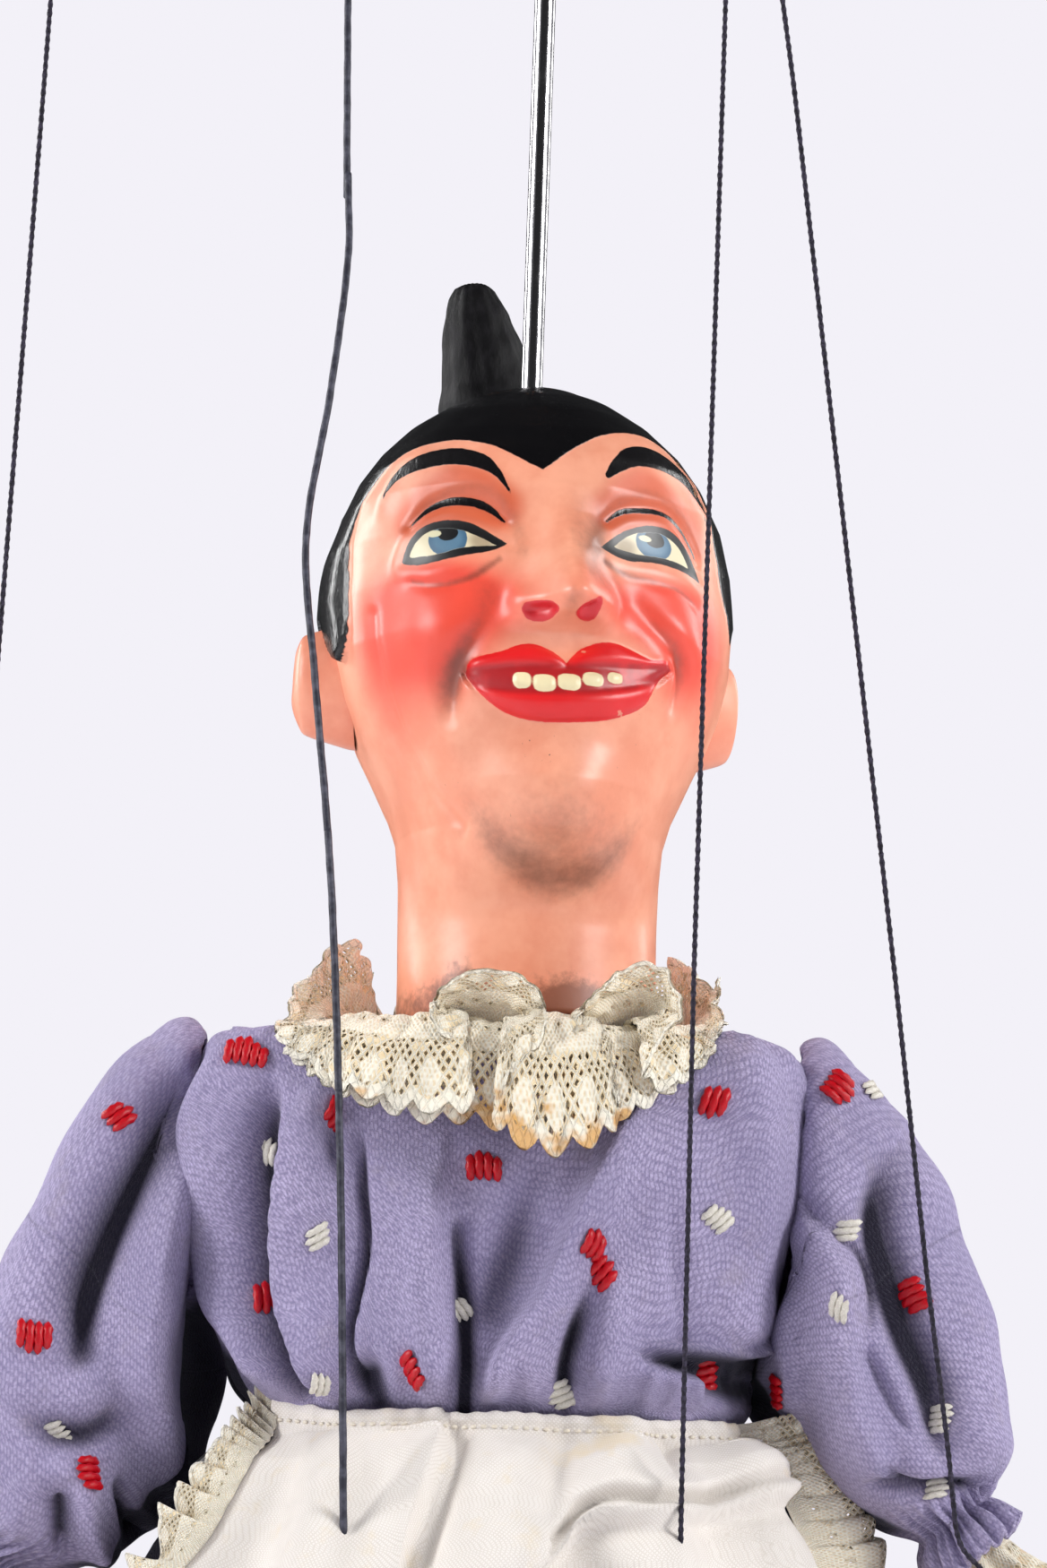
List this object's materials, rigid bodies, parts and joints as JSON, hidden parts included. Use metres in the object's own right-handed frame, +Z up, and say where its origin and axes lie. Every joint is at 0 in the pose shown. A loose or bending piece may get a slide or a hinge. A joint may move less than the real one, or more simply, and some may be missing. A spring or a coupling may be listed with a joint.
{
  "type": "marionette",
  "caption": "Dressed maid marionette on a head rod, with a grip, a rocking leg bar, wire hand levers, four strings and jointed limbs.",
  "frame": {"origin": "centre of the hang hole through the knob of the grip", "axes": "+Z up along the head rod, -Y the way the puppet's body faces, +X towards the puppet's left hand"},
  "size_m": [0.1632, 0.1477, 0.6481],
  "materials": {
    "wood": "satin",
    "brushed_steel": "brushed",
    "chrome": "polished",
    "brass": "satin",
    "painted_head": "gloss paint",
    "painted_wood": "paint",
    "black_gloss": "gloss paint",
    "dress": "twill",
    "linen": "plain weave",
    "lace": "lace",
    "string": "waxed thread"
  },
  "bodies": {
    "control": {"grip": "wood", "leg_bar_screw": "brass", "lever_pin": "brushed_steel", "lever_stop": "brushed_steel", "head_rod": "chrome", "head": "painted_head", "leg_string_R": "string", "leg_string_L": "string", "hand_string_R": "string", "hand_string_L": "string"},
    "leg_bar": {"leg_bar": "wood"},
    "lever_R": {"hand_lever_R": "brushed_steel"},
    "lever_L": {"hand_lever_L": "brushed_steel"},
    "neck_link": {"neck_link": "brushed_steel"},
    "torso": {"torso": "wood", "body_eye": "brushed_steel", "hip_pin": "brushed_steel", "shoulder_pin_R": "brushed_steel", "shoulder_pin_L": "brushed_steel", "bodice": "dress", "skirt": "dress", "collar_lace": "lace", "apron": "linen", "apron_lace_R": "lace", "apron_lace_L": "lace", "apron_ties": "linen", "leg_string_low_R": "string", "leg_string_low_L": "string", "hand_string_low_R": "string", "hand_string_low_L": "string"},
    "arm_R": {"upper_arm_R": "wood", "elbow_pin_R": "brushed_steel", "sleeve_R": "dress"},
    "forearm_R": {"forearm_R": "wood", "hand_R": "painted_head", "hand_eye_R": "brass", "cuff_R": "lace"},
    "thigh_R": {"thigh_R": "wood", "knee_pin_R": "brushed_steel", "knee_eye_R": "brass"},
    "shin_R": {"shin_R": "painted_wood", "shoe_R": "black_gloss"},
    "arm_L": {"upper_arm_L": "wood", "elbow_pin_L": "brushed_steel", "sleeve_L": "dress"},
    "forearm_L": {"forearm_L": "wood", "hand_L": "painted_head", "hand_eye_L": "brass", "cuff_L": "lace"},
    "thigh_L": {"thigh_L": "wood", "knee_pin_L": "brushed_steel", "knee_eye_L": "brass"},
    "shin_L": {"shin_L": "painted_wood", "shoe_L": "black_gloss"}
  },
  "joints": [
    {"name": "neck_turn", "type": "hinge", "parent": "control", "child": "neck_link", "pos_m": [0, 0, -0.404], "axis": [0, 0, 1], "range_deg": [-30, 30], "deforming": ["leg_string_R", "leg_string_L", "hand_string_R", "hand_string_L", "leg_string_low_R", "leg_string_low_L", "hand_string_low_R", "hand_string_low_L"]},
    {"name": "neck_swing", "type": "hinge", "parent": "neck_link", "child": "torso", "pos_m": [0, 0, -0.4132], "axis": [1, 0, 0], "range_deg": [-7, 7], "deforming": ["leg_string_R", "leg_string_L", "hand_string_R", "hand_string_L", "leg_string_low_R", "leg_string_low_L", "hand_string_low_R", "hand_string_low_L"]},
    {"name": "leg_bar_rock", "type": "hinge", "parent": "control", "child": "leg_bar", "pos_m": [-0.00743, -0.01286, -0.025], "axis": [-0.5, -0.866, 0], "range_deg": [-11, 11], "deforming": ["leg_string_R", "leg_string_L"]},
    {"name": "hand_lever_R", "type": "hinge", "parent": "control", "child": "lever_R", "pos_m": [-0.01599, 0.0023, -0.055], "axis": [-0.866, 0.5, 0], "range_deg": [0, 38.5], "deforming": ["hand_string_R"]},
    {"name": "hand_lever_L", "type": "hinge", "parent": "control", "child": "lever_L", "pos_m": [0.00999, -0.0127, -0.055], "axis": [-0.866, 0.5, 0], "range_deg": [0, 38.5], "deforming": ["hand_string_L"]},
    {"name": "shoulder_R", "type": "hinge", "parent": "torso", "child": "arm_R", "pos_m": [-0.0396, 0, -0.4125], "axis": [-1, 0, 0], "range_deg": [0, 25], "deforming": ["sleeve_R", "hand_string_low_R"]},
    {"name": "elbow_R", "type": "hinge", "parent": "arm_R", "child": "forearm_R", "pos_m": [-0.05453, 0, -0.44526], "axis": [-0.91, 0, 0.4147], "range_deg": [0, 45.5], "deforming": ["sleeve_R", "hand_string_low_R"]},
    {"name": "shoulder_L", "type": "hinge", "parent": "torso", "child": "arm_L", "pos_m": [0.0396, 0, -0.4125], "axis": [-1, 0, 0], "range_deg": [0, 25], "deforming": ["sleeve_L", "hand_string_low_L"]},
    {"name": "elbow_L", "type": "hinge", "parent": "arm_L", "child": "forearm_L", "pos_m": [0.05338, 0, -0.44576], "axis": [-0.9239, 0, -0.3827], "range_deg": [0, 45.5], "deforming": ["sleeve_L", "hand_string_low_L"]},
    {"name": "hip_L", "type": "hinge", "parent": "torso", "child": "thigh_L", "pos_m": [0.02, 0, -0.478], "axis": [-1, 0, 0], "range_deg": [-18, 18], "deforming": ["leg_string_low_L"]},
    {"name": "knee_L", "type": "hinge", "parent": "thigh_L", "child": "shin_L", "pos_m": [0.02, 0, -0.552], "axis": [1, 0, 0], "range_deg": [0, 45]},
    {"name": "hip_R", "type": "hinge", "parent": "torso", "child": "thigh_R", "pos_m": [-0.02, 0, -0.478], "axis": [-1, 0, 0], "range_deg": [-18.2, 18.2], "deforming": ["leg_string_low_R"]},
    {"name": "knee_R", "type": "hinge", "parent": "thigh_R", "child": "shin_R", "pos_m": [-0.02, 0, -0.552], "axis": [1, 0, 0], "range_deg": [0, 45]}
  ],
  "couplings": [
    {"joint": "hip_R", "follows": "hip_L", "ratio": -1},
    {"joint": "leg_bar_rock", "follows": "hip_L", "ratio": 0.58},
    {"joint": "elbow_R", "follows": "shoulder_R", "ratio": 1.8},
    {"joint": "hand_lever_R", "follows": "shoulder_R", "ratio": 1.52},
    {"joint": "elbow_L", "follows": "shoulder_L", "ratio": 1.8},
    {"joint": "hand_lever_L", "follows": "shoulder_L", "ratio": 1.52}
  ]
}
